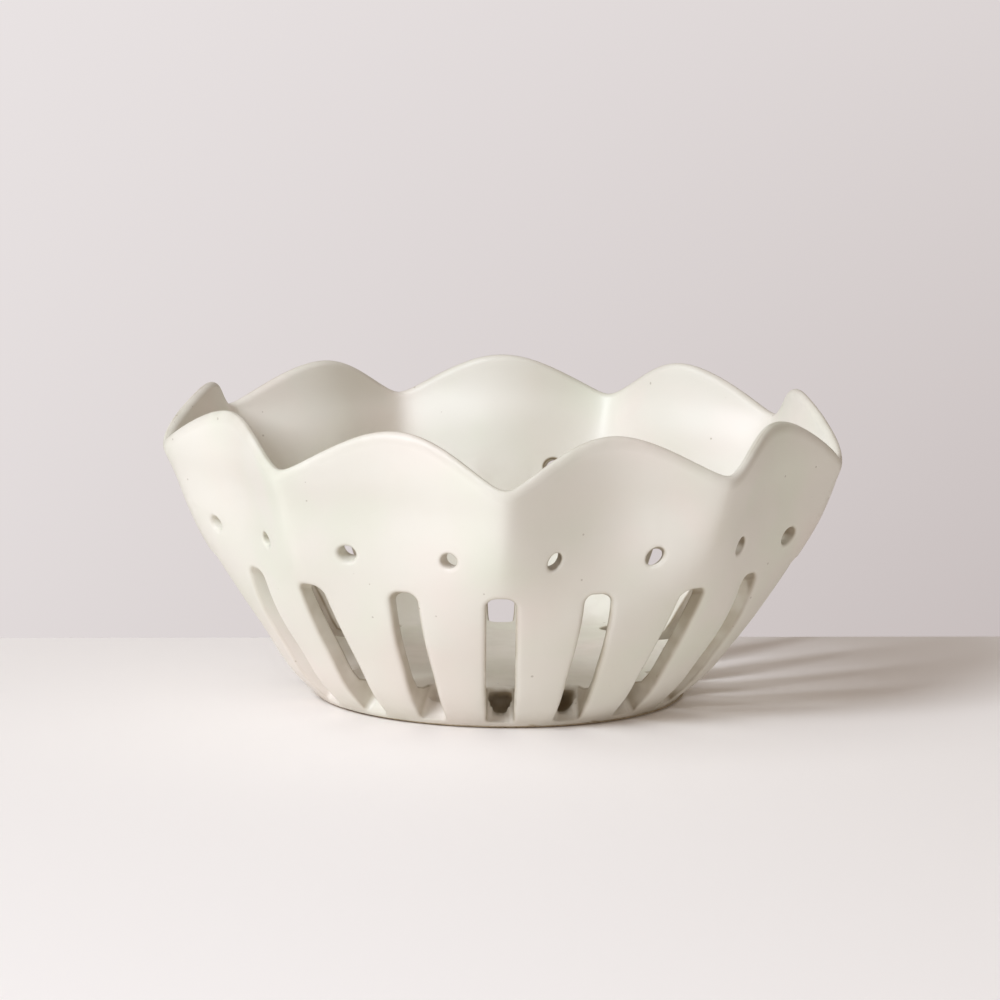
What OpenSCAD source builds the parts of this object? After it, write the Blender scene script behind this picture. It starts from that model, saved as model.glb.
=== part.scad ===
// Berry colander bowl in glazed stoneware, with a petalled rim, drain slots and drain holes.
// The fired bowl is one body. It is drawn as the members that it is formed from, which meet
// face to face: the petalled wall, the staves between the slots, the floor disc, the sill
// ring that closes the slots at their feet, and the bare foot ring that it stands on.
// The origin is the centre of the foot on the table, with +Z up and one ridge toward -Y.

/* [Bowl] */
// Outer radius of the ridges between petals, carried up to the height of the petal tips
rim_r = 112.5; // [102:0.5:125]
// Height of the lip at the ridges
valley_h = 84.5; // [76:0.5:95]
// How far the middle of each petal stands above the ridges
petal_rise = 14; // [6:0.5:20]
// How far the middle of each petal is pressed in at its tip
flute_depth = 12.3; // [4:0.1:15]
// Number of petals round the rim
petals = 9; // [7:1:11]
// Height at which the pressed-in petals begin
flute_start_h = 18; // [12:1:30]
// Thickness of the wall
wall_t = 5; // [4:0.5:6.5]
// Thickness of the rounded lip
lip_t = 4; // [3:0.5:5]

/* [Hand forming] */
// How much further the rim reaches to the sides than to the front
hand_oval = 2.5; // [0:0.5:3]
// How much higher the lip stands on its high side
hand_lean = 1.5; // [0:0.5:2.5]

/* [Drain slots] */
// Width of each slot
slot_w = 9; // [6:0.5:10]
// Height of the slots' top ends
slot_top_h = 47.5; // [42:0.5:52]

/* [Drain holes] */
// Diameter of each round drain hole
hole_d = 6; // [4:0.5:8]
// Height of the holes' centres above the slots' top ends
hole_rise = 12; // [9:0.5:16]
// Angle by which each hole climbs on its way in
hole_tilt = 15; // [0:1:25]

/* [Floor] */
// Height of the floor's top above the table
floor_h = 12.5; // [10.5:0.5:15]
// Thickness of the floor
floor_t = 5; // [4:0.5:6]
// Thickness of the floor's round edge, seen in the slots
edge_t = 2.4; // [1.6:0.2:3.2]
// How far the floor's edge lies inside the foot of the wall
floor_inset = 7; // [6:0.5:9]
// Depth of the groove under the floor's edge
groove_w = 4.5; // [3:0.5:6]
// Width of the seat that carries the floor
seat_w = 2.5; // [2:0.5:4]
// Reach of the rounded corner between floor and wall
cove_w = 4; // [2:0.5:6]

/* [Foot] */
// Radius of the foot of the wall, at the outer edge of the sills
base_r = 61; // [56:0.5:66]
// Height of the sills' outer edge
sill_h = 2; // [1.5:0.1:3]
// Width of each sloping sill
sill_w = 5.5; // [4:0.5:6]
// How far the foot tucks in under the wall
tuck_w = 2.5; // [2:0.5:8]
// Width of the ring that stands on the table
foot_w = 11.5; // [5:0.5:12]
// Height of the bare clay at the foot
foot_h = 0.8; // [0.4:0.1:1.2]

/* [Hidden] */

glaze = "#ebe6db";
bare_clay = "#c3ad92";

// Polar angle of the front ridge, and of the lip's high side
front = -90;
lean_dir = -125;

// Ridge profile from the sills to the petal tips, as shares of that height and widening
profile_shares = [
    [0, 0], [0.08, 0.15], [0.19, 0.29], [0.31, 0.445], [0.445, 0.61],
    [0.6, 0.78], [0.755, 0.895], [0.85, 0.957], [1, 1]
];
last_knot = len(profile_shares) - 1;
// Roundness of the ridges low down and at the lip, and of the lip's low points
low_crease_share = 0.35;
rim_crease_share = 0.07;
lip_crease_share = 0.15;
// Rounding of a slot's top corners as a share of its width
slot_corner_share = 0.38;

// Columns across a petal and a stave, and rows of the wall and round its lip
petal_columns = 12;
stave_columns = 4;
wall_rows = 7;
lip_rows = 4;
cove_rows = 3;
stave_rows = 5;
arch_rows = 4;
tuck_rows = 6;
edge_rows = 8;

// Overrun of every cut, and the step over which the wall's slope is read
cut_over = 0.5;
slope_step = 0.5;
fine = 96;

pitch = 360 / petals;
half_pitch = pitch / 2;
tip_h = valley_h + petal_rise;
floor_r = base_r - floor_inset;
floor_under_h = floor_h - floor_t;
edge_r = edge_t / 2;
groove_r = floor_r - groove_w;
seat_r = groove_r - seat_w;
sill_in_r = base_r - sill_w;
foot_out_r = base_r - tuck_w;
foot_in_r = foot_out_r - foot_w;
slot_corner = slot_w * slot_corner_share;
hole_h = slot_top_h + hole_rise;
hole_reach = 2 * wall_t + hole_d;

function mix(a, b, s) = a + (b - a) * s;
function smooth(x) = let (s = min(1, max(0, x))) s * s * (3 - 2 * s);

// Ridge radius at height z: a smooth curve through the profile's knots
function knot_slope(i) =
    let (a = profile_shares[max(i - 1, 0)], b = profile_shares[min(i + 1, last_knot)])
    (b[1] - a[1]) / (b[0] - a[0]);
function knot_below(s, i = 0) =
    i == last_knot - 1 || s < profile_shares[i + 1][0] ? i : knot_below(s, i + 1);
function profile_share(s) =
    let (
        i = knot_below(s),
        a = profile_shares[i],
        b = profile_shares[i + 1],
        w = b[0] - a[0],
        t = (s - a[0]) / w,
        e = smooth(t)
    )
    t > 1 ? 1 : t < 0 ? w * t * knot_slope(i)
    : mix(a[1], b[1], e) + w * t * (1 - t) * mix(knot_slope(i), -knot_slope(i + 1), t);
function ridge_r(z) = mix(base_r, rim_r, profile_share((z - sill_h) / (tip_h - sill_h)));

// Share of the way from one ridge to the next, and a petal's swell between them
function petal_share(a) = let (u = (a - front) / pitch) u - floor(u);
function swell(u, crease) =
    (sqrt(pow(sin(180 * u), 2) + crease * crease) - crease) / (sqrt(1 + crease * crease) - crease);

// Outer radius, wall run along the radius, and lip height, in direction a
function press_share(z) = smooth((z - flute_start_h) / (tip_h - flute_start_h));
function outer_r(a, z) =
    ridge_r(z) + hand_oval * pow(sin(a - front) * z / valley_h, 2)
    - flute_depth * press_share(z)
    * swell(petal_share(a), mix(low_crease_share, rim_crease_share, press_share(z)));
function wall_run(z) =
    let (slope = (ridge_r(z + slope_step) - ridge_r(z - slope_step)) / (2 * slope_step))
    sqrt(1 + slope * slope);
function lip_h(a) =
    valley_h + petal_rise * swell(petal_share(a), lip_crease_share) + hand_lean * cos(a - lean_dir);

function at(r, a, z) = [r * cos(a), r * sin(a), z];

// One upright section of the petalled wall: up the outside, over the lip, down the inside
function wall_thickness(s) = mix(wall_t, lip_t, smooth(s));
function wall_section(a) =
    let (
        top = lip_h(a) - lip_t / 2,
        lip_c = outer_r(a, top) - wall_run(top) * lip_t / 2,
        heights = [for (i = [0 : wall_rows]) mix(slot_top_h, top, i / wall_rows)]
    )
    concat(
        [for (z = heights) at(outer_r(a, z), a, z)],
        [for (i = [1 : lip_rows - 1]) let (b = 180 * i / lip_rows)
            at(lip_c + wall_run(top) * cos(b) * lip_t / 2, a, top + sin(b) * lip_t / 2)],
        [for (i = [wall_rows : -1 : 0]) let (z = heights[i])
            at(outer_r(a, z) - wall_run(z) * wall_thickness(i / wall_rows), a, z)]
    );

module wall_blank() {
    columns = petals * petal_columns;
    sections = [for (i = [0 : columns - 1]) wall_section(front + 360 * i / columns)];
    ring = len(sections[0]);
    polyhedron(
        points = [for (s = sections) each s],
        faces = [for (i = [0 : columns - 1], j = [0 : ring - 1]) let (
            here = i * ring, next = (i + 1) % columns * ring, up = (j + 1) % ring
        ) each [[here + j, here + up, next + up], [here + j, next + up, next + j]]]
    );
}

module petal_wall() {
    color(glaze)
        difference() {
            wall_blank();
            for (k = [0 : 2 * petals - 1])
                let (a = front + half_pitch * (k + 0.5))
                rotate([0, 0, a])
                    translate([outer_r(a, hole_h), 0, hole_h])
                        rotate([0, -90 + hole_tilt, 0])
                            cylinder(h = 2 * hole_reach, d = hole_d, center = true, $fn = fine);
        }
}

// Half the width of a slot at height z, narrowing in its rounded top corners
function slot_half(z) =
    let (up = max(0, z - slot_top_h + slot_corner))
    slot_w / 2 - slot_corner + sqrt(max(0, slot_corner * slot_corner - up * up));

// Half the angle that a stave spans in direction mid, on the side that side says
function stave_half(mid, side, z, inset) =
    let (
        guess = half_pitch / 2 - asin(slot_half(z) / (ridge_r(z) - inset)),
        r = outer_r(mid + side * guess, z) - inset
    )
    half_pitch / 2 - asin(slot_half(z) / r);

// The inside of a stave's root: down the floor's side, then up the corner to the wall
cove_h = cove_w;
root_low_h = sill_h - cut_over;
root_top_h = floor_h + cove_h;
root_r = groove_r - cut_over;
root_inside = concat(
    [[root_low_h, root_r], [floor_h, root_r]],
    [for (i = [0 : cove_rows]) let (s = i / cove_rows, z = floor_h + cove_h * s)
        [z, ridge_r(z) - wall_run(z) * wall_t - cove_w * (1 - s) * (1 - s)]]
);

// Rows of a stave: outer height, inner height, and the inner radius, or 0 for the wall's own
root_last = len(root_inside) - 1;
arch_h = slot_top_h - slot_corner;
stave_steps = concat(
    [for (i = [0 : root_last])
        [mix(root_low_h, root_top_h, i / root_last), root_inside[i][0], root_inside[i][1]]],
    [for (i = [1 : stave_rows]) let (z = mix(root_top_h, arch_h, i / stave_rows)) [z, z, 0]],
    [for (i = [1 : arch_rows]) let (z = arch_h + slot_corner * sin(90 * i / arch_rows)) [z, z, 0]]
);

function stave_ring(mid, step) =
    let (z = step[0], zi = step[1], run = wall_run(z) * wall_t)
    concat(
        [for (j = [0 : stave_columns]) let (
            s = 2 * j / stave_columns - 1,
            a = mid + s * stave_half(mid, sign(s), z, 0)
        ) at(outer_r(a, z), a, z)],
        [for (j = [stave_columns : -1 : 0]) let (
            s = 2 * j / stave_columns - 1,
            inset = step[2] > 0 ? ridge_r(zi) - step[2] : run,
            a = mid + s * stave_half(mid, sign(s), zi, inset)
        ) at(step[2] > 0 ? step[2] : outer_r(a, zi) - run, a, zi)]
    );

module stave_blank(mid) {
    rings = [for (step = stave_steps) stave_ring(mid, step)];
    n = len(rings[0]);
    top = len(rings) - 1;
    polyhedron(
        points = [for (r = rings) each r],
        faces = concat(
            [[for (j = [0 : n - 1]) j]],
            [[for (j = [n - 1 : -1 : 0]) top * n + j]],
            [for (i = [0 : top - 1], j = [0 : n - 1]) let (
                here = i * n, above = here + n, next = (j + 1) % n
            ) each [[here + j, above + j, above + next], [here + j, above + next, here + next]]]
        )
    );
}

module drain_staves() {
    color(glaze)
        for (k = [0 : 2 * petals - 1])
            difference() {
                stave_blank(front + half_pitch * (k + 0.5));
                stave_seat();
            }
}

// The floor's round edge, from where the groove's slope meets it to the floor's top
edge_arc = [for (i = [0 : edge_rows]) let (b = mix(-45, 90, i / edge_rows))
    [floor_r - edge_r + edge_r * cos(b), floor_h - edge_r + edge_r * sin(b)]];

// What the staves stand against: the sills, the seat and the floor, run on past their faces
module stave_seat() {
    sill_slope = (floor_under_h - sill_h) / sill_w;
    run_on = tuck_w;
    rotate_extrude($fn = fine)
        polygon(concat(
            [
                [0, -run_on * sill_slope],
                [base_r + run_on, sill_h - run_on * sill_slope],
                [sill_in_r, floor_under_h],
                [groove_r, floor_under_h]
            ],
            edge_arc,
            [
                [floor_r - edge_r, floor_h + cut_over],
                [0, floor_h + cut_over]
            ]
        ));
}

module floor_disc() {
    color(glaze)
        rotate_extrude($fn = fine)
            polygon(concat([[0, floor_under_h], [groove_r, floor_under_h]], edge_arc, [[0, floor_h]]));
}

// Radius of the tucked-in foot at height z, from the table to the sills
function tuck_r(z) = foot_out_r + tuck_w * sqrt(z / sill_h);
function tuck_line(low, high) =
    [for (i = [0 : tuck_rows]) let (z = mix(low, high, pow(i / tuck_rows, 2))) [tuck_r(z), z]];

module sill_ring() {
    color(glaze)
        rotate_extrude($fn = fine)
            polygon(concat(
                [[foot_in_r, foot_h]],
                tuck_line(foot_h, sill_h),
                [[sill_in_r, floor_under_h], [seat_r, floor_under_h]]
            ));
}

module foot_ring() {
    color(bare_clay)
        rotate_extrude($fn = fine)
            polygon(concat([[foot_in_r, 0]], tuck_line(0, foot_h), [[foot_in_r, foot_h]]));
}

petal_wall();
drain_staves();
floor_disc();
sill_ring();
foot_ring();
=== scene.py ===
import math
from typing import NamedTuple

import bmesh
import bpy
import numpy as np
from mathutils import Matrix, Vector, noise


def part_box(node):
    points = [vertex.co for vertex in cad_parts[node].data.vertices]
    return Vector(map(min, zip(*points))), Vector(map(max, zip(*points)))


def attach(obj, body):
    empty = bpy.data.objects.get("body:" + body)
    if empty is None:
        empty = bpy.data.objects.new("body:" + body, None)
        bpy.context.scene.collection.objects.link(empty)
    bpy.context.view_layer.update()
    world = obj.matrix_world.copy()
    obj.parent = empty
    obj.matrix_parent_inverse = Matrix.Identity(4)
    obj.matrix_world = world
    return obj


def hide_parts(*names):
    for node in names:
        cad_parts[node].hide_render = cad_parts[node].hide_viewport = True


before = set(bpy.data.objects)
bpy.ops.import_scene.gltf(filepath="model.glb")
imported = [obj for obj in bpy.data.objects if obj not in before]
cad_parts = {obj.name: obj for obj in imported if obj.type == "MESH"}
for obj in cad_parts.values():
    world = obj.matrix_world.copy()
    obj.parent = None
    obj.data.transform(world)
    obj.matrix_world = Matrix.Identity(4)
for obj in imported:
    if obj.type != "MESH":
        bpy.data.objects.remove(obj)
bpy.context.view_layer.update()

bl_info = {
    "name": "Petalled Colander Bowl",
    "version": (1, 0, 0),
    "blender": (4, 5, 0),
    "location": "View3D > Sidebar > Bowl",
    "description": "Builds the glazed body, the bare foot and the stage of a petalled stoneware colander bowl",
    "category": "Add Mesh",
}

MM = 0.001

# Sizes that the solids hold, read from the frame's nodes
SLOT_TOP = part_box("petal_wall")[0].z
SILL_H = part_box("drain_staves")[0].z
FLOOR_LOW, FLOOR_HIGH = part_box("floor_disc")
FLOOR_UNDER_H, FLOOR_H, FLOOR_R = FLOOR_LOW.z, FLOOR_HIGH.z, FLOOR_HIGH.x
BASE_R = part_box("sill_ring")[1].x
FOOT_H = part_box("foot_ring")[1].z

# Foot ring, and the groove that runs from the sill in under the floor's edge
TUCK_W = 2.5 * MM
FOOT_OUT_R = BASE_R - TUCK_W
FOOT_IN_R = FOOT_OUT_R - 11.5 * MM
SILL_IN_R = 55.5 * MM
GROOVE_R = 49.5 * MM
# Radius at which the floor's plain middle begins, and of the small lids in the middle of floor and underside
FLOOR_RING_R = 48 * MM
LID_R = 0.6 * MM
# Height of the petals' tips on the turned bowl, and the ridges' profile from the sills up to it, as shares of that
# height and widening
TIP_H = 98.5 * MM
PROFILE_SHARES = np.array([
    (0, 0), (0.08, 0.15), (0.19, 0.29), (0.31, 0.445), (0.445, 0.61),
    (0.6, 0.78), (0.755, 0.895), (0.85, 0.957), (1, 1),
])

# The wall's mesh: a band of slots and a band of holes, each parted into cells, and the upper wall above them
CELL_DEG = 360 / 18
SLOT_BAND_TOP = 52 * MM
HOLE_BAND_TOP = 68 * MM
FINE_STEP = 0.25 * MM
# Shares of the way from a cell's border to its opening: even ones, and ones that are close together at a ridge
THIRDS = (0, 1 / 3, 2 / 3)
CREASE_STATIONS = (0, 0.11, 0.28, 0.49, 0.73)
# Steps along an opening's outline: up a side round its low corner, its straight part and its top corner, and from
# there to the middle of the top on the curve and on the straight
SLOT_SIDE_STEPS, SLOT_CAP_STEPS = (4, 12, 3), (8, 4)
HOLE_SIDE_STEPS, HOLE_CAP_STEPS = (5, 0, 5), (10, 0)
# Steps round an opening's soft edge, on the outside and on the inside
OUTER_EDGE_STEPS, INNER_EDGE_STEPS = 5, 4

# Shares of thin glaze and painted shade: painted shade low on the inside, painted shade and thinner glaze at the
# foot of the outside and how far up that reaches, thin glaze where an opening's outer edge turns, painted shade and
# thin glaze on the slots' cut faces, and thin glaze on the lip's top and sides
INSIDE_SHADE = 0.25
FOOT_THIN_AND_SHADE, FOOT_THIN_AND_SHADE_REACH = 0.35, 5 * MM
EDGE_THIN, CUT_THIN_AND_SHADE = 0.6, 0.8
LIP_TOP_THIN, LIP_SIDE_THIN = 0.5, 0.3
# How much of that is left at the foot of slots and holes, where the glaze pools
SLOT_POOL, HOLE_POOL = 0.15, 0.45
# How far the lip's rounding falls on the outside, as a share of half the lip's thickness
LIP_FALL = 2
# Depth of an opening's outer edge as a share of its reach, the reach of a hole's edge as a share of a slot's, and
# the height over which a slot's edge grows soft above the sill
EDGE_DEPTH, HOLE_EDGE, EDGE_FADE = 0.5, 0.65, 12 * MM
# Radii of a slot's lower corners at the sill and at the floor, and how it narrows toward its foot on the outside
SILL_ROUND, FLOOR_ROUND = 1.6 * MM, 3.4 * MM
OUTER_TAPER, TAPER_REACH = 0.06, 20 * MM
# Width of the gouge at a slot's foot, on the sill and under the floor, as a share of the slot's width
GOUGE_SILL, GOUGE_FLOOR = 0.68, 0.92
# How soft the corners of its profile are, and the steps from the sill to the floor
HOLLOW_ROUND, HOLLOW_STEPS = 0.6 * MM, 14

# Width of the crease at a ridge: where the petals begin, where they are fully pressed in, where a petal was pulled
# in or out, and along the lip
CREASE_LOW, CREASE_FULL, CREASE_PULL, CREASE_LIP = 0.35, 0.11, 0.3, 0.15
# Height from which the maker pulled at the wall, and over which that grows up to the rim
PULL_FROM, PULL_OVER = 48 * MM, 30 * MM
# Height from which a petal is hollow, and how high the hollow is
HOLLOW_FROM, HOLLOW_OVER = 40 * MM, 52 * MM
# What the maker's hand left on each ridge and petal, counted from the front ridge toward +X: how far each ridge is
# turned toward +X, how far ridges and petals stand higher or reach further, how much softer a ridge's crease is, and
# how hollow a petal is
RIDGE_TURN_DEG = (0.5, 0.5, 0, 2, 0.5, -0.5, -2, -1, 0)
RIDGE_LIFT_MM = (-1.5, 0.5, -2.5, 0.5, 0, -0.5, 0.5, -0.5, 0)
RIDGE_REACH_MM = (-0.5, -1, -0.5, -3, -0.5, -1.5, -2.5, -2, -2)
RIDGE_SOFT = (0, 0, 0.12, 0, 0.2, 0, 0, 0.16, 0)
PETAL_LIFT_MM = (-0.5, -1, 0, 0.5, -0.5, -1, -1.5, -1, 0)
PETAL_REACH_MM = (-0.5, 1.5, 0.3, -1.2, -0.5, 0, 0.5, 0.8, 0.3)
PETAL_HOLLOW_MM = (1.8, 0, 0, 0, 0, 0, 0, 0, 0)
# How much fuller the belly was thrown on its left and right, as (height, left, right)
BELLY_MM = (
    (2, 0.9, -1.2), (12, 0.8, 0.4), (24, 0, 1.6), (45, -0.2, 1.5),
    (60, -0.5, 1.1), (70, -0.1, 1.0), (80, 0.4, 0.5), (101, 0, 0),
)
# Direction of the lip's high side, in degrees from the front ridge toward -X
LEAN_TOWARD_DEG = 35
# Height above the floor over which the thrown wall grows uneven
UNEVEN_OVER = 20 * MM


class Slot(NamedTuple):
    """How one slot was cut, as changes from an even slot."""

    bulge_mm: float = 0  # how far its cut bulges toward the slot before it, in its middle
    skew_mm: float = 0  # how far it goes toward the next slot on its way in
    taper: float = 0.18  # how much it narrows toward its foot on the inside
    # thin: its share of the full painted shade and thin glaze on the cut, low on slots whose cut faces the lamp
    thin: float = 1  # its share of the glaze's full thinning on the cut
    gouge: float = 1  # how deep its foot was gouged, as a share of the full depth


class Hole(NamedTuple):
    """How one hole was drilled, as changes from an even hole."""

    drop_mm: float = 0  # how far it lies below the ring of holes
    slide_mm: float = 0  # how far it lies off its place toward the next hole
    skew_mm: float = 0  # how far it goes toward the next hole on its way in
    climb_mm: float = 0  # how far it climbs on its way in, past what all holes do
    width: float = 1  # its share of the full width
    narrow: float = 1  # its breadth as a share of its length
    lean_deg: float = 0  # how far its length leans toward the next hole
    # thin: its share of the full painted shade and thin glaze on the cut, low on holes whose cut faces the lamp
    thin: float = 1  # its share of the glaze's full thinning on the cut


# The slots, counted from the front one toward +X
SLOTS = (
    Slot(taper=0.12),
    Slot(skew_mm=1.4, taper=0.12),
    Slot(taper=0.55),
    Slot(taper=0.5),
    Slot(thin=0.8),
    *[Slot()] * 9,
    Slot(taper=0.3, thin=0.3, gouge=0.3),
    Slot(bulge_mm=1.4, taper=0.5, thin=0, gouge=0.2),
    Slot(bulge_mm=1.4, taper=0.55, thin=0.7, gouge=0.2),
    Slot(taper=0.35, thin=0.75, gouge=0.25),
)
# The holes, counted from the first one right of the front ridge toward +X
HOLES = (
    Hole(slide_mm=-0.3, skew_mm=-0.5, climb_mm=-0.4, width=1.08, narrow=0.7, lean_deg=22),
    Hole(slide_mm=0.2, skew_mm=1.5, climb_mm=-2.1, width=1.15, narrow=0.76, lean_deg=25, thin=0.8),
    Hole(slide_mm=1.3, skew_mm=-1.2, width=1.06),
    Hole(drop_mm=1.6, skew_mm=-0.8, width=1.08),
    Hole(slide_mm=4),
    Hole(drop_mm=1),
    Hole(drop_mm=2.5),
    Hole(drop_mm=1.5),
    Hole(drop_mm=1.5, slide_mm=-1.5, thin=0.6),
    Hole(drop_mm=3.2),
    Hole(drop_mm=1.5),
    Hole(drop_mm=2.5),
    Hole(drop_mm=1),
    Hole(slide_mm=-4),
    Hole(drop_mm=-0.3, slide_mm=-1.2, width=0.85, thin=0.1),
    Hole(drop_mm=-0.3, slide_mm=-1, width=0.85, thin=0.1),
    Hole(slide_mm=-0.5, climb_mm=0.4, width=0.98, thin=0.3),
    Hole(skew_mm=1.3, climb_mm=-0.6, width=0.95, thin=0.35),
)


def linear(hex_colour):
    """An sRGB colour such as "ebe6db" as linear red, green and blue."""
    parts = [int(hex_colour[i:i + 2], 16) / 255 for i in (0, 2, 4)]
    return tuple(c / 12.92 if c <= 0.04045 else ((c + 0.055) / 1.055) ** 2.4 for c in parts)


def length_prop(name, description, default, low, high):
    return bpy.props.FloatProperty(
        name=name, description=description, default=default, min=low, max=high, unit="LENGTH", precision=4
    )


def colour_prop(name, description, hex_colour):
    return bpy.props.FloatVectorProperty(
        name=name, description=description, default=linear(hex_colour), size=3, min=0, max=1, subtype="COLOR"
    )


class BowlSizes(bpy.types.PropertyGroup):
    petals: bpy.props.IntProperty(name="Petals", description="Petals round the rim", default=9, min=3, max=9)
    rim_radius: length_prop("Rim radius", "Outer radius of the ridges at the tips' height", 112.5 * MM, 0.09, 0.13)
    valley_height: length_prop("Lip height", "Height of the lip at the ridges", 84.5 * MM, 0.07, 0.1)
    petal_rise: length_prop("Petal rise", "How far a petal's tip stands above the ridges", 14 * MM, 0, 0.02)
    flute_depth: length_prop("Flute depth", "How far a petal is pressed in at its tip", 12.3 * MM, 0, 0.02)
    flute_start: length_prop("Flute start", "Height at which the pressed-in petals begin", 26 * MM, 0, 0.04)
    flute_full: length_prop("Flute full", "Height from which they are fully pressed in", 82 * MM, 0.06, 0.1)
    oval: length_prop("Oval", "How much further the rim reaches to the sides", 2.5 * MM, 0, 0.004)
    lean: length_prop("Lean", "How much higher the lip stands on its high side", 1.5 * MM, 0, 0.003)
    wall: length_prop("Wall", "Thickness of the wall", 5 * MM, 0.003, 0.007)
    lip: length_prop("Lip", "Thickness of the rounded lip", 4 * MM, 0.002, 0.006)
    slot_width: length_prop("Slot width", "Width of a drain slot", 9.2 * MM, 0.005, 0.01)
    slot_corner: length_prop("Slot corner", "Radius of a slot's top corners", 3.4 * MM, 0.001, 0.004)
    hole_width: length_prop("Hole width", "Diameter of a drain hole", 6 * MM, 0.003, 0.008)
    hole_height: length_prop("Hole height", "Height of the holes' centres on the outside", 59.5 * MM, 0.055, 0.065)
    hole_climb: length_prop("Hole climb", "How far a hole climbs on its way in", 1.6 * MM, 0, 0.003)
    soft_edge: length_prop("Soft edge", "Reach of the glazed edges round slots and holes", 2.2 * MM, 0.0005, 0.003)
    inner_edge: length_prop("Inner edge", "Radius of those edges on the inside", 0.8 * MM, 0.0003, 0.002)
    cove: length_prop("Cove", "Reach of the soft corner between floor and wall", 5 * MM, 0.001, 0.01)


class BowlColours(bpy.types.PropertyGroup):
    glaze: colour_prop("Glaze", "Cream glaze where it lies thick", "e8e4d9")
    glaze_cool: colour_prop("Cool glaze", "Greenish drift of the glaze", "e4e4d5")
    glaze_warm: colour_prop("Warm glaze", "Pinkish drift of the glaze", "eae2d8")
    # Painted shade too: this colour darkens the cut faces, the groove, the low inside and the foot
    glaze_thin_and_shade: colour_prop("Thin glaze", "Glaze drawn thin over an edge", "9e8e73")
    # Painted shade too: the darkest shade on cut faces and in the groove
    glaze_broken_and_shade: colour_prop("Broken glaze", "Clay that shows where the glaze breaks on a sharp edge", "8a7960")
    speck: colour_prop("Specks", "Iron specks in the glaze", "8d7c66")
    clay: colour_prop("Clay", "Bare fired clay of the foot", "c6b69c")
    clay_dark: colour_prop("Dark clay", "Grog and stains in the bare clay", "a89372")
    table: colour_prop("Table", "Plain pale floor", "f8f3ef")
    wall: colour_prop("Backdrop", "Plain pale backdrop on its lit side", "e9e3e3")
    wall_shade: colour_prop("Backdrop shade", "Backdrop at the foot of its far side", "c7bebd")


# Shape of the turned bowl, before its petals are pressed in

def smooth(x):
    x = np.clip(x, 0, 1)
    return x * x * (3 - 2 * x)


def ridge_radius(s, z):
    """Outer radius of the ridges at height z: a smooth curve through the profile's knots."""
    x, y = PROFILE_SHARES.T
    rise = np.concatenate([[y[1] / x[1]], (y[2:] - y[:-2]) / (x[2:] - x[:-2]), [(y[-1] - y[-2]) / (x[-1] - x[-2])]])
    share = (np.asarray(z, float) - SILL_H) / (TIP_H - SILL_H)
    i = np.clip(np.searchsorted(x, share, "right") - 1, 0, len(x) - 2)
    w = x[i + 1] - x[i]
    t = np.clip((share - x[i]) / w, 0, 1)
    e = smooth(t)
    y_share = y[i] * (1 - e) + y[i + 1] * e + w * t * (1 - t) * (rise[i] * (1 - t) - rise[i + 1] * t)
    return BASE_R + (s.rim_radius - BASE_R) * y_share


def wall_run(s, z):
    """Length of the wall's slope for each unit of height."""
    slope = (ridge_radius(s, z + MM / 2) - ridge_radius(s, z - MM / 2)) / MM
    return np.sqrt(1 + slope**2)


def lengths(points):
    """Length of a line of points from its first one to each."""
    return np.concatenate([[0], np.cumsum(np.hypot(*np.diff(points, axis=0).T))])


class Track:
    """A line of (radius, height) points with its corners softened, measured by its length from its first point."""

    def __init__(self, points, reach):
        self.points = self.softened(self.spaced(np.array(points)), reach)
        self.length = lengths(self.points)

    @staticmethod
    def spaced(points):
        """The same line with its points a fine step apart."""
        length = lengths(points)
        along = np.linspace(0, length[-1], int(length[-1] / FINE_STEP) + 1)
        return np.stack([np.interp(along, length, points[:, i]) for i in (0, 1)], 1)

    @staticmethod
    def softened(points, reach):
        """Rounds the line's corners over the given reach, and leaves its ends where they are."""
        half = max(1, int(reach / FINE_STEP))
        weights = np.hanning(2 * half + 3)[1:-1]
        weights /= weights.sum()
        first, last = points[0], points[-1]
        before = 2 * first - points[half:0:-1]
        after = 2 * last - points[-2:-half - 2:-1]
        padded = np.concatenate([before, points, after])
        return np.stack([np.convolve(padded[:, i], weights, "valid") for i in (0, 1)], 1)

    def at(self, along):
        return np.stack([np.interp(along, self.length, self.points[:, i]) for i in (0, 1)], -1)

    def into_clay(self, along, side):
        """Unit direction into the clay: side is 1 for an outside line drawn upward, and -1 for an inside one."""
        step = 2 * FINE_STEP
        d = self.at(np.minimum(along + step, self.length[-1])) - self.at(np.maximum(along - step, 0))
        d /= np.linalg.norm(d, axis=-1, keepdims=True)
        return side * np.stack([-d[..., 1], d[..., 0]], -1)

    def where(self, z):
        """Length at which the line climbs through height z."""
        return np.interp(z, self.points[:, 1], self.length)


def tuck_radius(z):
    """Outer radius of the foot's tuck, which draws in from the sills down to the table."""
    return FOOT_OUT_R + TUCK_W * math.sqrt(z / SILL_H)


def outside_track(s):
    tuck = [(tuck_radius(z), z) for z in np.linspace(FOOT_H, SILL_H, 8)]
    wall = [(float(ridge_radius(s, z)), z) for z in np.arange(SILL_H + MM, HOLE_BAND_TOP, MM)]
    end = [(float(ridge_radius(s, HOLE_BAND_TOP)), HOLE_BAND_TOP)]
    return Track(tuck + wall + end, 2 * MM)


def inside_radius(s, z):
    return ridge_radius(s, z) - wall_run(s, z) * s.wall


def inside_track(s):
    floor = [(FLOOR_RING_R, FLOOR_H)]
    wall = [(float(inside_radius(s, z)), z) for z in np.arange(FLOOR_H, HOLE_BAND_TOP, MM)]
    end = [(float(inside_radius(s, HOLE_BAND_TOP)), HOLE_BAND_TOP)]
    return Track(floor + wall + end, s.cove)


# Openings: a slot or a hole with its share of the wall round it

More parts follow.
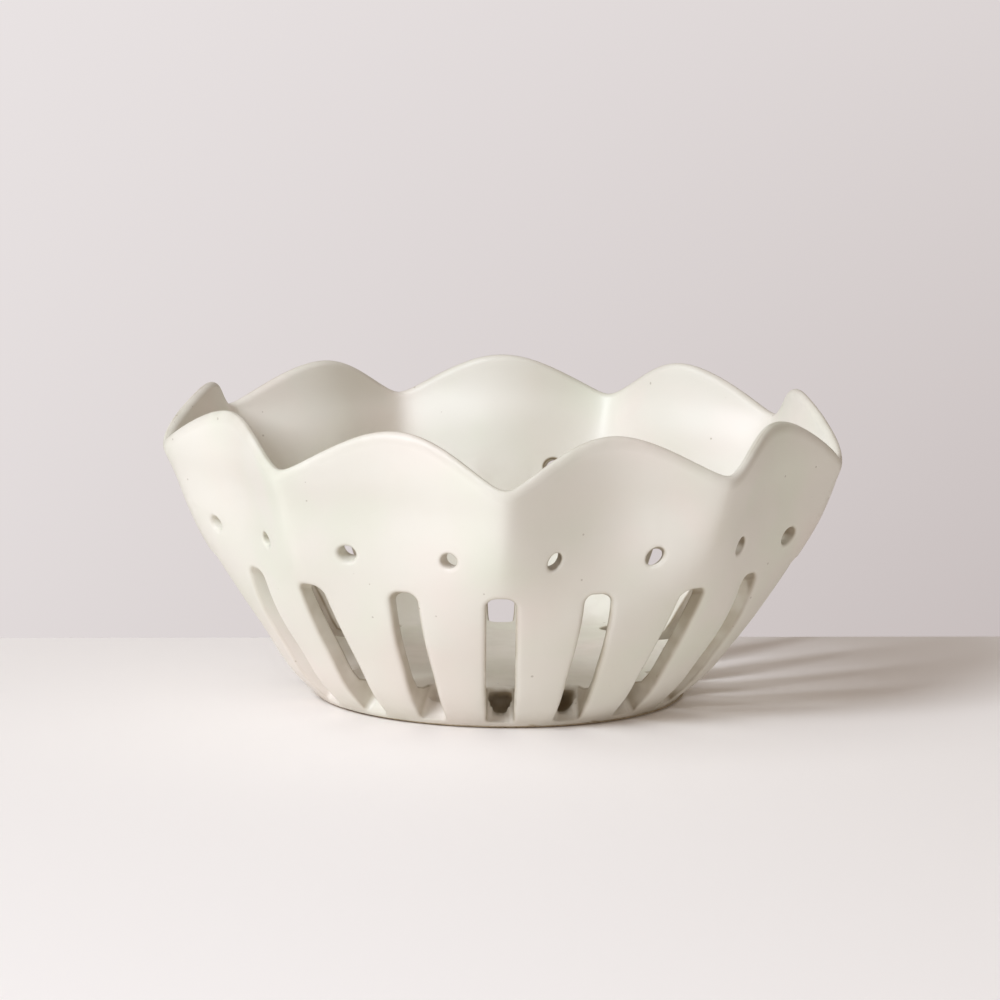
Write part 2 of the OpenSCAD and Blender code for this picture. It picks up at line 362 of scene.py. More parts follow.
def rounded_outline(half, low, high, low_round, high_round, side, cap):
    """Outline of an opening as (points, outward directions): up its left side, over the top, down the right
    side and back along the foot. side and cap give the steps that SLOT_SIDE_STEPS and SLOT_CAP_STEPS name."""

    def arc(cx, cy, radius, start, end, steps):
        turn = np.radians(np.linspace(start, end, steps + 1))
        out = np.stack([np.cos(turn), np.sin(turn)], 1)
        return np.array([cx, cy]) + radius * out, out

    lx, hx = half - low_round, half - high_round
    ly, hy = low + low_round, high - high_round
    stretches = [
        arc(-lx, ly, low_round, 225, 180, side[0]),
        arc(-hx, hy, high_round, 180, 135, side[2]),
        arc(-hx, hy, high_round, 135, 90, cap[0]),
        arc(hx, hy, high_round, 90, 45, cap[0]),
        arc(hx, hy, high_round, 45, 0, side[2]),
        arc(lx, ly, low_round, 0, -45, side[0]),
        arc(lx, ly, low_round, -45, -90, cap[0]),
        arc(-lx, ly, low_round, -90, -135, cap[0]),
    ]
    straight_steps = [side[1], 0, cap[1], 0, side[1], 0, cap[1], 0]
    points, outs = [], []
    for i, (p, o) in enumerate(stretches):
        steps = straight_steps[i]
        points.extend(p[:-1])
        outs.extend(o[:-1])
        after = stretches[(i + 1) % len(stretches)][0][0]
        for k in range(steps):
            points.append(p[-1] + (after - p[-1]) * k / steps)
            outs.append(o[-1])
    return np.array(points), np.array(outs)


def tapered(outline, low, share, reach):
    """The outline drawn in by a share of its width at its foot, fading out over the reach above it."""
    drawn = outline.copy()
    drawn[:, 0] *= 1 - share * smooth(1 - (outline[:, 1] - low) / reach)
    return drawn


def cell_border(low, high, climb, across):
    """Border of a cell as (degrees, length along the track), with the same stations as an opening's outline."""
    half = CELL_DEG / 2
    turn = np.linspace(-half, half, across + 1)
    side = low + (high - low) * climb
    left = [(-half, m) for m in side[:-1]]
    top = [(t, high) for t in turn[:-1]]
    right = [(half, m) for m in side[:0:-1]]
    foot = [(t, low) for t in turn[:0:-1]]
    return np.array(left + top + right + foot)


def on_sheet(track, side, turn, along, depth):
    """Points at the given turn and length, sunk by depth into the clay, with the cell's middle along +Y."""
    place = track.at(along) + track.into_clay(along, side) * np.reshape(depth, (-1, 1))
    return np.stack([place[:, 0] * np.sin(turn), place[:, 0] * np.cos(turn), place[:, 1]], 1)


def sheet_rows(track, side, outline, outs, border, edge, depth, stations, cut):
    """Rows from a cell's border to its opening, at the stations' shares of the way, and on round the opening's
    soft edge, which reaches edge along the wall and depth into it. Gives the rows with their shares of thin glaze
    and painted shade, with painted shade on the inside sheet and up to cut on the cut face."""
    made, shares = [], []
    full = outline + outs * edge[:, None]
    radius = track.at(full[:, 1])[:, 0]
    start = np.stack([np.arcsin(full[:, 0] / radius), full[:, 1]], 1)
    rim = np.stack([np.radians(border[:, 0]), border[:, 1]], 1)
    for w in stations:
        place = rim * (1 - w) + start * w
        made.append(on_sheet(track, side, place[:, 0], place[:, 1], 0))
        # Painted shade on the inside sheet
        shares.append(0 if side > 0 else INSIDE_SHADE)
    steps = OUTER_EDGE_STEPS if side > 0 else INNER_EDGE_STEPS
    for k in range(steps + 1):
        b = math.pi / 2 * k / steps
        grown = outline + outs * (edge * (1 - math.sin(b)))[:, None]
        radius = track.at(grown[:, 1])[:, 0]
        turn = np.arcsin(grown[:, 0] / radius)
        made.append(on_sheet(track, side, turn, grown[:, 1], depth * (1 - math.cos(b))))
        # Thin glaze where the glaze breaks over the edge, and the cut's painted shade and thin glaze coming round it
        broken = EDGE_THIN * math.sin(2 * b) ** 2 * math.sin(b) ** 3 if side > 0 else math.sin(2 * b)
        shares.append(min(1, broken + cut * math.sin(b) ** 6))
    return made, shares


def pooled(outs, share):
    """How thin the glaze is round an opening: 1 at its top, and the given share where it pools at its foot."""
    foot, top = -0.9, 0.3
    return share + (1 - share) * smooth((outs[:, 1] - foot) / (top - foot))


def hollow_curve(start, end):
    """Foot of a slot in its middle: up the sloping sill, back under the floor, and out round the floor's edge.
    Gives (places, shares of the way straight from start to end)."""
    under = FLOOR_UNDER_H
    knots = [
        (*start, 0),
        ((start[0] + SILL_IN_R) / 2, (start[1] + under - 2.4 * MM) / 2, 0.3),  # half-way up the sill
        (SILL_IN_R - 0.3 * MM, under - 3.8 * MM, 0.58),  # the sill's inner edge
        ((SILL_IN_R + GROOVE_R) / 2, under - 3.8 * MM, 0.62),  # the groove's bottom
        (GROOVE_R, under - 2.1 * MM, 0.65),  # its far end
        (GROOVE_R - 0.3 * MM, under + 0.1 * MM, 0.68),
        ((GROOVE_R + FLOOR_R) / 2, under + 1.2 * MM, 0.73),  # its top, under the floor
        (FLOOR_R - 0.7 * MM, FLOOR_H - 2.1 * MM, 0.82),  # the floor's edge
        (FLOOR_R - 0.15 * MM, FLOOR_H - 1.7 * MM, 0.91),
        (*end, 1),
    ]
    places = [knot[:2] for knot in knots]
    track = Track(places, HOLLOW_ROUND)
    raw = lengths(places)
    stations = np.linspace(0, 1, HOLLOW_STEPS + 1)
    shares = np.interp(stations * raw[-1], raw, [knot[2] for knot in knots])
    return track.at(stations * track.length[-1]), shares


def slot_outlines(s, outside, inside, slot):
    """A slot's outlines on the outside and on the inside, each as (points, outward directions)."""
    half = s.slot_width / 2
    low, high = outside.where(SILL_H), outside.where(SLOT_TOP)
    outline, outs = rounded_outline(half, low, high, SILL_ROUND, s.slot_corner, SLOT_SIDE_STEPS, SLOT_CAP_STEPS)
    outline = tapered(outline, low, OUTER_TAPER, TAPER_REACH)
    up = (outline[:, 1] - low) / (high - low)
    outline[:, 0] += slot.bulge_mm * MM * 4 * up * (1 - up) * (outs[:, 0] > 0.5)
    low, high = FLOOR_R - FLOOR_RING_R, inside.where(SLOT_TOP)
    inner, inner_outs = rounded_outline(half, low, high, FLOOR_ROUND, s.slot_corner, SLOT_SIDE_STEPS, SLOT_CAP_STEPS)
    inner = tapered(inner, low, slot.taper, TAPER_REACH) - np.array([slot.skew_mm * MM, 0])
    return (outline, outs), (inner, inner_outs)


def gouged_rows(start, end, middle, reached, depth):
    """Rows across a slot's cut, from its outside at start to its inside at end, sunk into the groove at its foot.
    middle is the index of the foot's middle point, reached is how far off the middle each point lies, as a share of
    the slot's half width, and depth is each point's share of the full gouge. Gives the rows, and for each the
    painted shade that darkens the groove."""
    curve, shares = hollow_curve(start[middle, 1:], end[middle, 1:])
    rows, groove_shade = [], []
    for place, share in list(zip(curve, shares))[1:-1]:
        row = start + (end - start) * share
        sag = place - row[middle, 1:]
        # A trough with a flat middle and steep sides, which widens on its way in under the floor
        widest = GOUGE_SILL + (GOUGE_FLOOR - GOUGE_SILL) * smooth((share - 0.45) / 0.25)
        gouge = depth * np.clip(1 - (reached / widest) ** 6, 0, 1) ** 0.6
        row[:, 1:] += sag * gouge[:, None]
        rows.append(row)
        # Painted shade in the groove under the floor's edge, where the gouge is deep
        groove_shade.append(smooth((FLOOR_R + MM - place[0]) / (2 * MM)) * np.minimum(1, 2 * gouge))
    return rows, groove_shade


def slot_cell(s, outside, inside, slot):
    """One drain slot with its share of the wall and floor: rows of points from outside to inside, and their
    shares of thin glaze and painted shade."""
    # Painted shade and thin glaze on the cut faces
    cut = CUT_THIN_AND_SHADE * slot.thin
    (outline, outs), (inner, inner_outs) = slot_outlines(s, outside, inside, slot)
    steps = sum(SLOT_SIDE_STEPS)
    across = 2 * SLOT_CAP_STEPS[0] + SLOT_CAP_STEPS[1]
    climb = (outline[:steps + 1, 1] - outline[0, 1]) / (outline[steps, 1] - outline[0, 1])
    climb = 0.7 * climb + 0.3 * np.linspace(0, 1, steps + 1)
    border = cell_border(0, outside.where(SLOT_BAND_TOP), climb, across)
    inner_border = cell_border(0, inside.where(SLOT_BAND_TOP), climb, across)
    fade = 0.55 + 0.45 * smooth((outline[:, 1] - outside.where(SILL_H)) / EDGE_FADE)
    edge, inner_edge = s.soft_edge * fade, np.full(len(inner), s.inner_edge)
    outer_rows, outer_shares = sheet_rows(outside, 1, outline, outs, border, edge, edge * EDGE_DEPTH, THIRDS, cut)
    inner_rows, inner_shares = sheet_rows(
        inside, -1, inner, inner_outs, inner_border, inner_edge, inner_edge, THIRDS, cut
    )
    middle = steps * 2 + across + across // 2
    at_foot = outs[:, 1] < -0.5
    reached = np.abs(outline[:, 0]) / (s.slot_width / 2)
    cut_rows, groove_shade = gouged_rows(outer_rows[-1], inner_rows[-1], middle, reached, slot.gouge * at_foot)
    shares = outer_shares + [cut] * len(cut_rows) + inner_shares[::-1]
    thin = np.array(shares)[:, None] * pooled(outs, SLOT_POOL)
    # Painted shade on the inside sheet round the slot
    thin[-len(THIRDS) - 1:] = INSIDE_SHADE
    outer_height = np.array(outer_rows)[:, :, 2]
    # Painted shade and thinner glaze near the foot of the outside
    thin[:len(outer_rows)] += FOOT_THIN_AND_SHADE * smooth(1 - (outer_height - FOOT_H) / FOOT_THIN_AND_SHADE_REACH)
    # Painted shade and thin glaze on the cut faces, deepened to full painted shade in the groove
    cut_shade_and_thin = thin[len(outer_rows):-len(inner_rows)]
    cut_shade_and_thin += (1 - cut_shade_and_thin) * np.array(groove_shade)
    return np.array(outer_rows + cut_rows + inner_rows[::-1]), thin


def leaning_oval(outline, outs, middle, narrow, lean):
    """A round outline drawn narrower, with its length leaning from upright toward the cell's -x."""
    long = np.array([-math.sin(lean), math.cos(lean)])
    broad = np.array([math.cos(lean), math.sin(lean)])
    about = outline - np.array([0, middle])
    oval = np.outer(about @ long, long) + narrow * np.outer(about @ broad, broad) + np.array([0, middle])
    oval_outs = narrow * np.outer(outs @ long, long) + np.outer(outs @ broad, broad)
    return oval, oval_outs / np.linalg.norm(oval_outs, axis=1, keepdims=True)


def hole_cell(s, outside, inside, hole):
    """One round drain hole with its share of the wall: rows of points from outside to inside, and their shares of
    thin glaze and painted shade."""
    radius = hole.width * s.hole_width / 2
    height = s.hole_height - hole.drop_mm * MM
    middle = outside.where(height)
    inner_middle = inside.where(height + s.hole_climb + hole.climb_mm * MM)
    low, high = middle - radius, middle + radius
    outline, outs = rounded_outline(radius, low, high, radius, radius, HOLE_SIDE_STEPS, HOLE_CAP_STEPS)
    outline, outs = leaning_oval(outline, outs, middle, hole.narrow, math.radians(hole.lean_deg))
    outline = outline - np.array([hole.slide_mm * MM, 0])
    inner = outline + np.array([-hole.skew_mm * MM, inner_middle - middle])
    steps, across = sum(HOLE_SIDE_STEPS), 2 * HOLE_CAP_STEPS[0]
    climb = np.linspace(0, 1, steps + 1)
    border = cell_border(outside.where(SLOT_BAND_TOP), outside.length[-1], climb, across)
    inner_border = cell_border(inside.where(SLOT_BAND_TOP), inside.length[-1], climb, across)
    edge, inner_edge = np.full(len(outline), HOLE_EDGE * s.soft_edge), np.full(len(outline), s.inner_edge)
    outer_rows, outer_shares = sheet_rows(
        outside, 1, outline, outs, border, edge, edge * EDGE_DEPTH, CREASE_STATIONS, hole.thin
    )
    inner_rows, inner_shares = sheet_rows(
        inside, -1, inner, outs, inner_border, inner_edge, inner_edge, THIRDS, hole.thin
    )
    cut_rows = [outer_rows[-1] + (inner_rows[-1] - outer_rows[-1]) * w for w in THIRDS[1:]]
    shares = outer_shares + [hole.thin] * len(cut_rows) + inner_shares[::-1]
    thin = np.array(shares)[:, None] * pooled(outs, HOLE_POOL)
    flat = len(THIRDS)
    inner_height = np.array(inner_rows[flat - 1::-1])[:, :, 2]
    # Painted shade on the inside, darker towards the bottom of the hole band
    thin[-flat:] = INSIDE_SHADE * smooth((HOLE_BAND_TOP - inner_height) / (HOLE_BAND_TOP - SLOT_BAND_TOP))
    return np.array(outer_rows + cut_rows + inner_rows[::-1]), thin


# Rings that run all the way round: the upper wall with its lip, the floor, and the underside

def petal_at(s, turn):
    """Petal at each turn in degrees from the front ridge toward +X, and the share of the way across it."""
    share = np.mod(turn, 360) / (360 / s.petals)
    k = np.floor(share).astype(int) % s.petals
    return k, share - np.floor(share)


def petal_swell(u, crease):
    """A bow across a petal, 0 at its ridges and 1 in its middle, with a crease of the given width at the ridges."""
    bow = np.sqrt(np.sin(np.pi * u) ** 2 + crease**2) - crease
    return bow / (np.sqrt(1 + crease**2) - crease)


def between_ridges(s, values, k, w):
    """The ridges' values, blended by w from ridge k to the next."""
    values = np.array(values)
    return values[k] * (1 - w) + values[(k + 1) % s.petals] * w


def lip_height(s, turn):
    """Height of the lip's top, a turn in degrees from the front ridge toward +X."""
    k, u = petal_at(s, turn)
    swell = petal_swell(u, CREASE_LIP)
    ridge = between_ridges(s, RIDGE_LIFT_MM, k, u) * MM
    tip = np.array(PETAL_LIFT_MM)[k] * MM
    lean = s.lean * np.cos(np.radians(turn + LEAN_TOWARD_DEG))
    return s.valley_height + lean + s.petal_rise * swell + ridge * (1 - swell) + tip * swell


def upper_wall(s, turns):
    """Rows up the outside, over the lip and down the inside, for each turn in degrees."""
    low = HOLE_BAND_TOP
    top = lip_height(s, turns)
    slope = (ridge_radius(s, top) - ridge_radius(s, top - 2 * MM)) / (2 * MM)
    lean = np.arctan(slope)
    outer_top = top - s.lip / 2 * (1 + np.sin(lean))
    inner_top = outer_top + s.lip * np.sin(lean)
    middle_r = ridge_radius(s, outer_top) - s.lip / 2 * np.cos(lean)
    middle_z = outer_top + s.lip / 2 * np.sin(lean)
    round_start = outer_top - s.lip / 2 * (LIP_FALL - 1) * np.cos(lean)
    climb, round_steps = 14, 12
    rows, shares = [], []

    def add_row(r, z, share):
        a = np.radians(turns)
        rows.append(np.stack([r * np.sin(a), -r * np.cos(a), z], 1))
        shares.append(share)

    for k in range(climb + 1):
        z = low + (round_start - low) * k / climb
        add_row(ridge_radius(s, z), z, 0)
    for k in range(1, round_steps):
        b = math.pi * k / round_steps
        fall = LIP_FALL if 2 * k < round_steps else 1
        out, up = s.lip / 2 * math.cos(b), s.lip / 2 * (1 - fall * (1 - math.sin(b)))
        r = middle_r + out * np.cos(lean) + up * np.sin(lean)
        z = middle_z - out * np.sin(lean) + up * np.cos(lean)
        add_row(r, z, LIP_TOP_THIN if 2 * k == round_steps else LIP_SIDE_THIN * math.sin(b))
    for k in range(climb, -1, -1):
        share = k / climb
        z = low + (inner_top - low) * share
        thick = s.wall + (s.lip - s.wall) * smooth(share)
        add_row(ridge_radius(s, z) - wall_run(s, z) * thick, z, 0)
    return np.array(rows), np.array(shares)


def turned(rows, degrees):
    """Rows with their middle along +Y, turned to stand the given degrees from the front toward +X."""
    a = math.radians(180 + degrees)
    x, y = rows[..., 0], rows[..., 1]
    return np.stack([x * math.cos(a) - y * math.sin(a), x * math.sin(a) + y * math.cos(a), rows[..., 2]], -1)


def turned_rows(profile, turns):
    """A ring of points for each (radius, height) of a profile, at each turn in degrees."""
    a = np.radians(turns)
    return np.array([np.stack([r * np.sin(a), -r * np.cos(a), np.full(len(a), z)], 1) for r, z in profile])


def pressed(s, points):
    """The turned bowl's points after its petals are pressed in and its rim is drawn by hand."""
    turn = np.degrees(np.arctan2(points[:, 0], -points[:, 1]))
    r = np.hypot(points[:, 0], points[:, 1])
    z = points[:, 2]
    side = np.sin(np.radians(turn))
    k, u = petal_at(s, turn)
    press = smooth((z - s.flute_start) / (s.flute_full - s.flute_start))
    crease = CREASE_LOW + (CREASE_FULL - CREASE_LOW) * press + between_ridges(s, RIDGE_SOFT, k, u)
    pressed_in = press * petal_swell(u, crease)
    r = r + s.oval * (side * z / s.valley_height) ** 2 * (1 - pressed_in) - s.flute_depth * pressed_in
    ease, middle = smooth(u), petal_swell(u, CREASE_PULL)
    ridge_reach, petal_reach = between_ridges(s, RIDGE_REACH_MM, k, ease), np.array(PETAL_REACH_MM)[k]
    near_rim = smooth((z - PULL_FROM) / PULL_OVER)
    r = r + near_rim * (ridge_reach * (1 - middle) + petal_reach * middle) * MM
    half_up = np.sin(np.pi * np.clip((z - HOLLOW_FROM) / HOLLOW_OVER, 0, 1))
    r = r - np.array(PETAL_HOLLOW_MM)[k] * MM * half_up * middle
    heights, left, right = np.array(BELLY_MM).T * MM
    r = r + np.where(side < 0, np.interp(z, heights, left), np.interp(z, heights, right)) * side**2
    turn = turn + near_rim * between_ridges(s, RIDGE_TURN_DEG, k, ease)
    a = np.radians(turn)
    return np.stack([r * np.sin(a), -r * np.cos(a), z], 1)


def unevenness(points):
    """Slow dents and swellings that throwing leaves, as a length for each point along its radius."""
    wide, narrow, apart = 38 * MM, 13 * MM, Vector((7, 3, 5))
    deep, shallow = 0.22 * MM, 0.09 * MM
    return np.array([
        deep * noise.noise(Vector(p) / wide) + shallow * noise.noise(Vector(p) / narrow + apart) for p in points
    ])


class MeshParts:
    """Collects grids of points, then joins them into one closed mesh."""

    def __init__(self):
        self.points, self.faces, self.thin, self.dry, self.count = [], [], [], [], 0

    def grid(self, rows, thin, dry=0):
        """Adds closed rows of points, with shares of thin glaze and painted shade for each row or point, and of dry
        clay.
        """
        n_rows, n = rows.shape[:2]
        index = self.count + np.arange(n_rows * n).reshape(n_rows, n)
        after = np.roll(index, -1, axis=1)
        quads = np.stack([index[:-1], after[:-1], after[1:], index[1:]], -1).reshape(-1, 4)
        self.faces.extend(quads.tolist())
        self.points.append(rows.reshape(-1, 3))
        self.thin.append(np.broadcast_to(np.reshape(thin, (n_rows, -1)), (n_rows, n)).ravel())
        self.dry.append(np.full(n_rows * n, dry))
        self.count += n_rows * n

    def lid(self, ring, thin, dry):
        """Closes a ring of points with one face."""
        self.faces.append(list(range(self.count, self.count + len(ring))))
        self.points.append(ring)
        self.thin.append(np.full(len(ring), thin))
        self.dry.append(np.full(len(ring), dry))
        self.count += len(ring)

    def build(self, name, shape=None):
        points = np.concatenate(self.points)
        if shape:
            points = shape(points)
        mesh = bpy.data.meshes.new(name)
        mesh.from_pydata(points.tolist(), [], self.faces)
        for label, shares in (("thin_glaze_and_shade", self.thin), ("dry_clay", self.dry)):
            mesh.attributes.new(label, "FLOAT", "POINT").data.foreach_set("value", np.concatenate(shares))
        bm = bmesh.new()
        bm.from_mesh(mesh)
        bmesh.ops.remove_doubles(bm, verts=bm.verts, dist=0.02 * MM)
        bmesh.ops.recalc_face_normals(bm, faces=bm.faces)
        bm.to_mesh(mesh)
        bm.free()
        mesh.shade_smooth()
        return mesh


def place_on_frame(name, mesh, material, nodes):
    """Puts a mesh in the scene as a piece that rides on the body and stands for the given nodes."""
    piece = bpy.data.objects.new(name, mesh)
    bpy.context.scene.collection.objects.link(piece)
    mesh.materials.append(material)
    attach(piece, "root")
    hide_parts(*nodes)
    return piece


# Materials

def node(tree, kind, inputs=None, **settings):
    """Adds a node with its settings. inputs gives values, or the sockets that are linked in."""
    made = tree.nodes.new(kind)
    for name, value in settings.items():
        setattr(made, name, value)
    for name, value in (inputs or {}).items():
        if isinstance(value, bpy.types.NodeSocket):
            tree.links.new(value, made.inputs[name])
        else:
            made.inputs[name].default_value = value
    return made


def new_material(name):
    material = bpy.data.materials.new(name)
    material.use_nodes = True
    material.node_tree.nodes.clear()
    return material, material.node_tree


def rgba(colour):
    return (*colour, 1)


def blend(tree, factor, under, over):
    """Colour socket of under with over laid on it by factor."""
    return node(tree, "ShaderNodeMix", {0: factor, 6: under, 7: over}, data_type="RGBA").outputs[2]


def ramped(tree, value, low, high, to_low=0.0, to_high=1.0):
    return node(
        tree, "ShaderNodeMapRange",
        {"Value": value, "From Min": low, "From Max": high, "To Min": to_low, "To Max": to_high},
        interpolation_type="SMOOTHSTEP",
    ).outputs[0]


def grain(tree, place, size, detail=2.0):
    return node(tree, "ShaderNodeTexNoise", {"Vector": place, "Scale": 1 / size, "Detail": detail}).outputs["Fac"]


def scattered_dots(tree, place, spacing, kept, widest):
    """Mask of round dots, one in each kept cell, of sizes up to widest as a share of the spacing."""
    cells = node(tree, "ShaderNodeTexVoronoi", {"Vector": place, "Scale": 1 / spacing})
    chance = node(tree, "ShaderNodeSeparateColor", {"Color": cells.outputs["Color"]}).outputs["Red"]
    reach = ramped(tree, chance, 1 - kept, 1, 0, widest)
    near = node(tree, "ShaderNodeMath", {0: reach, 1: cells.outputs["Distance"]}, operation="SUBTRACT").outputs[0]
    return ramped(tree, near, 0, 0.35 * widest)


def cream_glaze(c):
    """Milky tin glaze on speckled stoneware: softly glossy, drifting between greenish and pinkish cream, drawn
    thin and warm over its edges, with sparse iron specks, pinholes and a faint orange peel. Painted shade darkens
    the slots' cut faces, the groove under the floor's edge, the low inside and the foot of the outside. It stops
    short of the underside, where the brown clay stays dry."""
    material, tree = new_material("cream_stoneware_glaze")
    place = node(tree, "ShaderNodeTexCoord").outputs["Object"]
    drift = grain(tree, place, 48 * MM, 1.0)
    colour = blend(tree, ramped(tree, drift, 0.35, 0.65), rgba(c.glaze_warm), rgba(c.glaze_cool))
    cloud = ramped(tree, grain(tree, place, 21 * MM, 1.0), 0.3, 0.7)
    colour = blend(tree, cloud, colour, rgba(c.glaze))
    # Thin glaze on edges and the lip, and painted shade on cut faces, in the groove, low inside and near the foot
    edge = node(tree, "ShaderNodeAttribute", attribute_name="thin_glaze_and_shade").outputs["Fac"]
    patchy = ramped(tree, grain(tree, place, 9 * MM), 0.3, 0.7, 0.6, 1)
    thin = node(tree, "ShaderNodeMath", {0: edge, 1: patchy}, operation="MULTIPLY").outputs[0]
    colour = blend(tree, thin, colour, rgba(c.glaze_thin_and_shade))
    # Broken glaze on sharp edges, and the darkest painted shade on cut faces and in the groove
    broken = node(
        tree, "ShaderNodeMath", {0: ramped(tree, edge, 0.65, 1, 0, 0.75), 1: patchy}, operation="MULTIPLY"
    ).outputs[0]
    colour = blend(tree, broken, colour, rgba(c.glaze_broken_and_shade))
    specks = scattered_dots(tree, place, 5 * MM, 0.45, 0.11)
    colour = blend(tree, ramped(tree, specks, 0, 1, 0, 0.4), colour, rgba(c.speck))
    pinholes = scattered_dots(tree, place, 10 * MM, 0.35, 0.04)
    colour = blend(tree, ramped(tree, pinholes, 0, 1, 0, 0.5), colour, rgba(c.glaze_thin_and_shade))
    dry = node(tree, "ShaderNodeAttribute", attribute_name="dry_clay").outputs["Fac"]
    colour = blend(tree, dry, colour, rgba(c.clay_dark))
    peel = node(
        tree, "ShaderNodeBump", {"Height": grain(tree, place, 2.2 * MM), "Strength": 1.0, "Distance": 0.012 * MM}
    ).outputs[0]
    flow = node(
        tree, "ShaderNodeBump",
        {"Height": grain(tree, place, 11 * MM, 1.0), "Strength": 1.0, "Distance": 0.12 * MM, "Normal": peel},
    ).outputs[0]
    pits = node(
        tree, "ShaderNodeBump", {"Height": pinholes, "Strength": 1.0, "Distance": 0.1 * MM, "Normal": flow},
        invert=True,
    ).outputs[0]
    sheen = ramped(tree, grain(tree, place, 21 * MM, 1.0), 0.3, 0.7, 0.44, 0.52)
    rough = node(tree, "ShaderNodeMix", {0: dry, 2: sheen, 3: 0.85}).outputs[0]
    shader = node(
        tree, "ShaderNodeBsdfPrincipled", {"Base Color": colour, "Roughness": rough, "IOR": 1.5, "Normal": pits}
    )
    node(tree, "ShaderNodeOutputMaterial", {"Surface": shader.outputs[0]})
    return material


def bare_clay(c):
    """Unglazed fired stoneware of the wiped foot: dry and matte, with the grain of sand and grog."""
    material, tree = new_material("bare_fired_stoneware")
    place = node(tree, "ShaderNodeTexCoord").outputs["Object"]
    sand = grain(tree, place, 1.2 * MM, 4.0)
    colour = blend(tree, ramped(tree, sand, 0.45, 0.7), rgba(c.clay), rgba(c.clay_dark))
    rough = node(tree, "ShaderNodeBump", {"Height": sand, "Strength": 1.0, "Distance": 0.15 * MM}).outputs[0]
    shader = node(
        tree, "ShaderNodeBsdfPrincipled", {"Base Color": colour, "Roughness": 0.85, "IOR": 1.45, "Normal": rough}
    )
    node(tree, "ShaderNodeOutputMaterial", {"Surface": shader.outputs[0]})
    return material


# Operators: one for each piece, and one for the stage

class BOWL_OT_glazed_body(bpy.types.Operator):
    """Builds the glazed body: petalled wall with its holes and slots, floor, sills and recess"""

    bl_idname = "bowl.glazed_body"
    bl_label = "Glazed Body"
    bl_options = {"REGISTER", "UNDO"}

    def execute(self, context):
        s = context.scene.bowl_sizes
        outside, inside = outside_track(s), inside_track(s)
        parts = MeshParts()
        for i, (slot, hole) in enumerate(zip(SLOTS, HOLES)):
            rows, thin = slot_cell(s, outside, inside, slot)
            parts.grid(turned(rows, i * CELL_DEG), thin)
            rows, thin = hole_cell(s, outside, inside, hole)
            parts.grid(turned(rows, (i + 0.5) * CELL_DEG), thin)
        turns = np.arange(0, 360, 1.0)
        parts.grid(*upper_wall(s, turns))
        rings = 12
        floor = [(FLOOR_RING_R * (1 - k / rings), FLOOR_H) for k in range(rings)] + [(LID_R, FLOOR_H)]
        # Painted shade over the whole floor
        self.round_sheet(parts, floor, turns, INSIDE_SHADE, 0)
        self.round_sheet(parts, self.underside(), turns, 0, 1)
        mesh = parts.build("glazed_body", lambda points: self.handmade(s, points))
        glaze = cream_glaze(context.scene.bowl_colours)
        nodes = ("petal_wall", "drain_staves", "floor_disc", "sill_ring")
        place_on_frame("glazed_body", mesh, glaze, nodes)
        return {"FINISHED"}

    @staticmethod
    def underside():
        """Profile of the recess: in along the foot ring's top, up its inner side, round a soft corner, and in."""
        corner, corner_steps, side_steps, flat_steps = 2 * MM, 5, 4, 10
        profile = [(tuck_radius(FOOT_H), FOOT_H), (FOOT_IN_R, FOOT_H)]
        for k in range(1, side_steps + 1):
            profile.append((FOOT_IN_R, FOOT_H + (FLOOR_UNDER_H - corner - FOOT_H) * k / side_steps))
        for k in range(1, corner_steps + 1):
            b = math.pi / 2 * k / corner_steps
            profile.append((FOOT_IN_R - corner * (1 - math.cos(b)), FLOOR_UNDER_H - corner * (1 - math.sin(b))))
        profile += [((FOOT_IN_R - corner) * (1 - k / flat_steps), FLOOR_UNDER_H) for k in range(1, flat_steps)]
        return profile + [(LID_R, FLOOR_UNDER_H)]

    @staticmethod
    def round_sheet(parts, profile, turns, thin, dry):
        """Adds a sheet that is turned from a profile and closed in its middle."""
        rows = turned_rows(profile, turns)
        parts.grid(rows, np.full(len(rows), thin), dry)
        parts.lid(rows[-1], thin, dry)

    @staticmethod
    def handmade(s, points):
        """The points pressed into petals and moved in or out by the unevenness, which fades out at the floor."""
        shaped = pressed(s, points)
        above = smooth((shaped[:, 2] - FLOOR_H) / UNEVEN_OVER)
        push = 1 + unevenness(shaped) * above / np.maximum(np.hypot(shaped[:, 0], shaped[:, 1]), MM)
        shaped[:, :2] *= push[:, None]
        return shaped


class BOWL_OT_bare_foot(bpy.types.Operator):
    """Builds the bare clay ring that the bowl stands on"""

    bl_idname = "bowl.bare_foot"
    bl_label = "Bare Foot"
    bl_options = {"REGISTER", "UNDO"}

    def execute(self, context):
        wiped, worn = 0.2 * MM, 0.3 * MM
        outer_low, outer_high = FOOT_OUT_R, tuck_radius(FOOT_H) - wiped
        inner = FOOT_IN_R + wiped
        profile = [
            (outer_high, FOOT_H), ((outer_low + outer_high) / 2, 0.35 * FOOT_H), (outer_low, 0),
            (inner + worn, 0), (inner, worn), (inner, FOOT_H), (outer_high, FOOT_H),
        ]
        parts = MeshParts()
        parts.grid(turned_rows(profile, np.arange(0, 360, 2.0)), np.zeros(len(profile)))
        mesh = parts.build("bare_foot")
        clay = bare_clay(context.scene.bowl_colours)
        place_on_frame("bare_foot", mesh, clay, ("foot_ring",))
        return {"FINISHED"}


